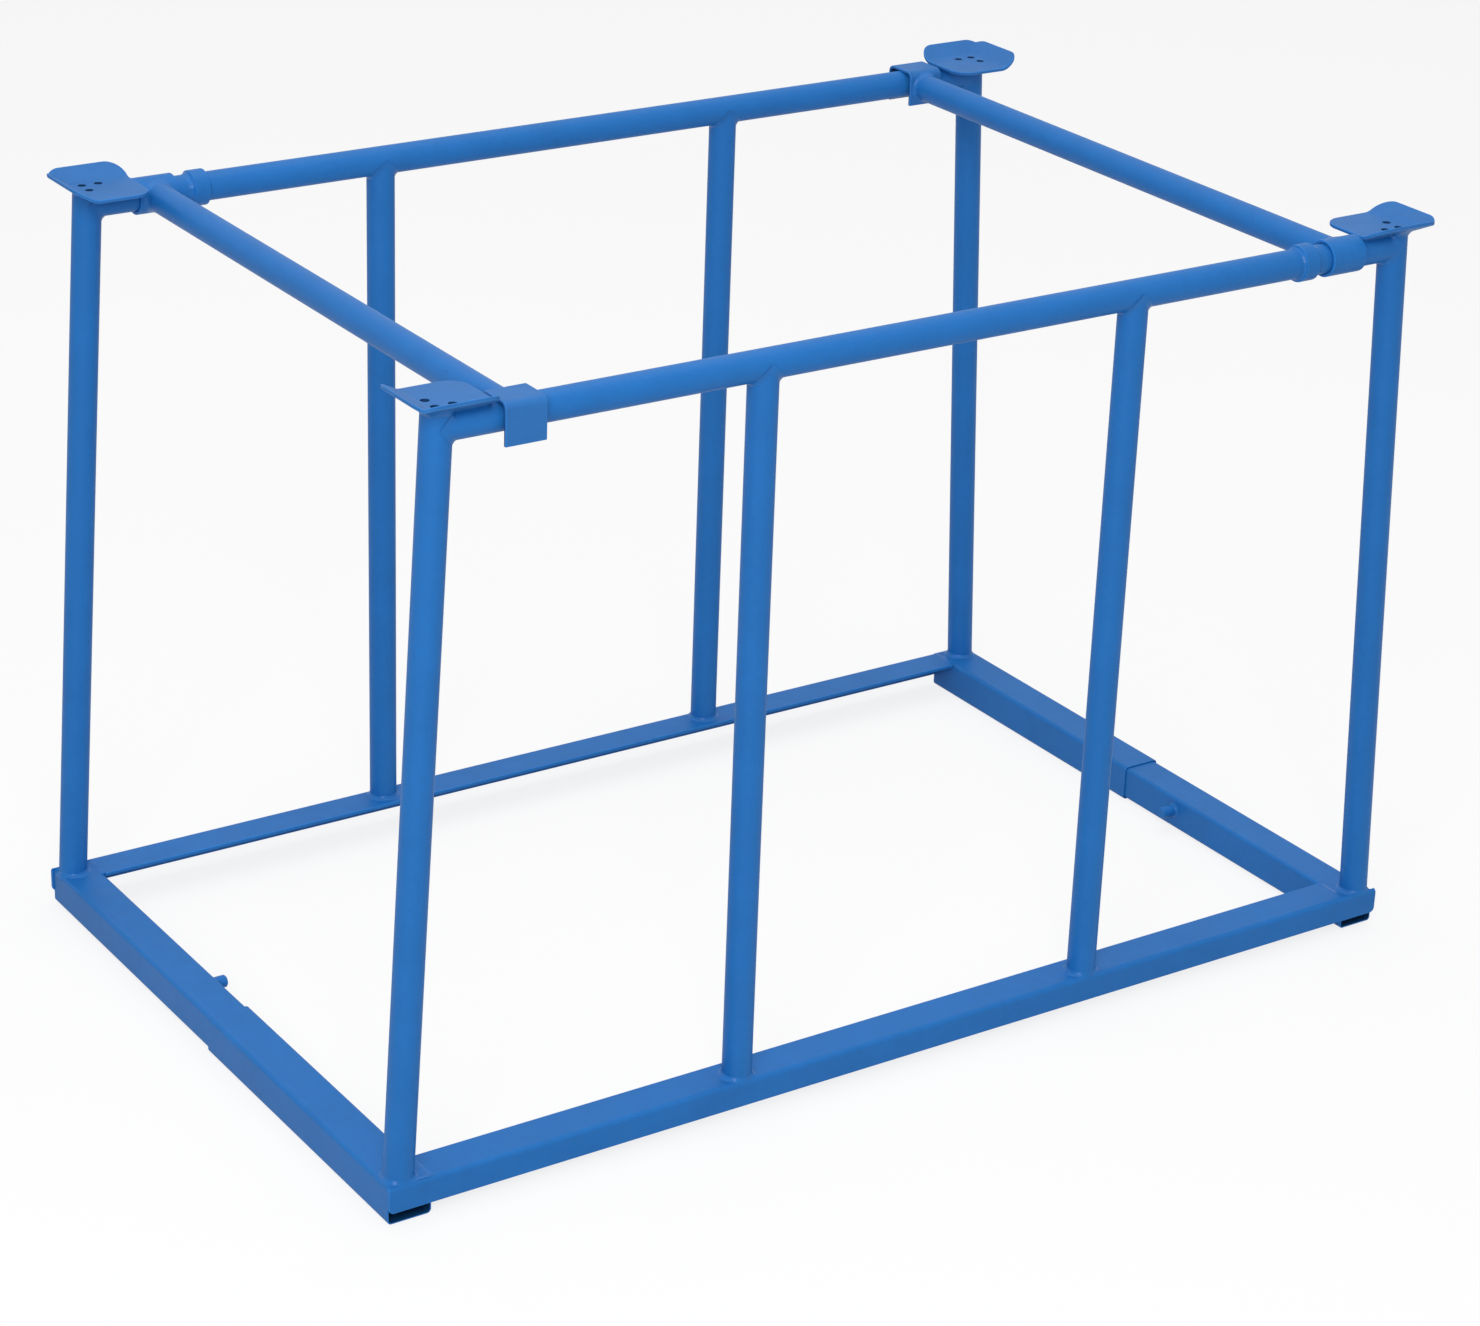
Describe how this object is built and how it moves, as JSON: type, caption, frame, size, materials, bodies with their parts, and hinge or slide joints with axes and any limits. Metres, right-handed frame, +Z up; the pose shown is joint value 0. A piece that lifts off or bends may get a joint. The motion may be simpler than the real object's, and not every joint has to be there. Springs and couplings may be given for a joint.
{
  "type": "steel pallet collar",
  "caption": "Tubular steel stacking collar for a flat pallet: plug-together side panels, swing-over cross bars with hooks and dished stacking corners.",
  "frame": {"origin": "middle of the footprint, at the underside of the end rails", "axes": "+X along the pallet to the right, +Y across it to the rear, +Z up"},
  "size_m": [1.31, 0.842, 0.8676],
  "materials": {
    "tube_paint": "satin mid-blue powder coat on round steel tube",
    "rail_paint": "satin mid-blue powder coat on folded and rectangular rails",
    "pressed_paint": "satin mid-blue powder coat on pressed plates and hooks",
    "fitting_paint": "satin mid-blue powder coat on sleeves, rings and pegs"
  },
  "bodies": {
    "front_frame": {"front_long_rail": "rail_paint", "front_outer_end_rail": "rail_paint", "front_inner_end_rail": "rail_paint", "front_left_corner_post": "tube_paint", "front_left_mid_post": "tube_paint", "front_right_mid_post": "tube_paint", "front_right_corner_post": "tube_paint", "front_top_tube": "tube_paint", "front_left_corner_plate": "pressed_paint", "front_right_corner_plate": "pressed_paint", "front_stop_ring": "fitting_paint", "front_deck_peg": "fitting_paint"},
    "rear_frame": {"rear_long_rail": "rail_paint", "rear_outer_end_rail": "rail_paint", "rear_inner_end_rail": "rail_paint", "rear_left_corner_post": "tube_paint", "rear_left_mid_post": "tube_paint", "rear_right_mid_post": "tube_paint", "rear_right_corner_post": "tube_paint", "rear_top_tube": "tube_paint", "rear_left_corner_plate": "pressed_paint", "rear_right_corner_plate": "pressed_paint", "rear_stop_ring": "fitting_paint", "rear_deck_peg": "fitting_paint"},
    "left_bar": {"left_cross_tube": "tube_paint", "left_pivot_sleeve": "fitting_paint", "left_hook": "pressed_paint"},
    "right_bar": {"right_cross_tube": "tube_paint", "right_pivot_sleeve": "fitting_paint", "right_hook": "pressed_paint"}
  },
  "joints": [
    {"name": "halves_slide", "type": "slide", "parent": "front_frame", "child": "rear_frame", "axis": [0, 1, 0], "range_m": [-0.003, 0.003]},
    {"name": "left_bar_swing", "type": "hinge", "parent": "rear_frame", "child": "left_bar", "pos_m": [-0.51, 0.387, 0.834], "axis": [-1, 0, 0], "range_deg": [0, 265]},
    {"name": "right_bar_swing", "type": "hinge", "parent": "front_frame", "child": "right_bar", "pos_m": [0.51, -0.387, 0.834], "axis": [1, 0, 0], "range_deg": [0, 265]}
  ]
}
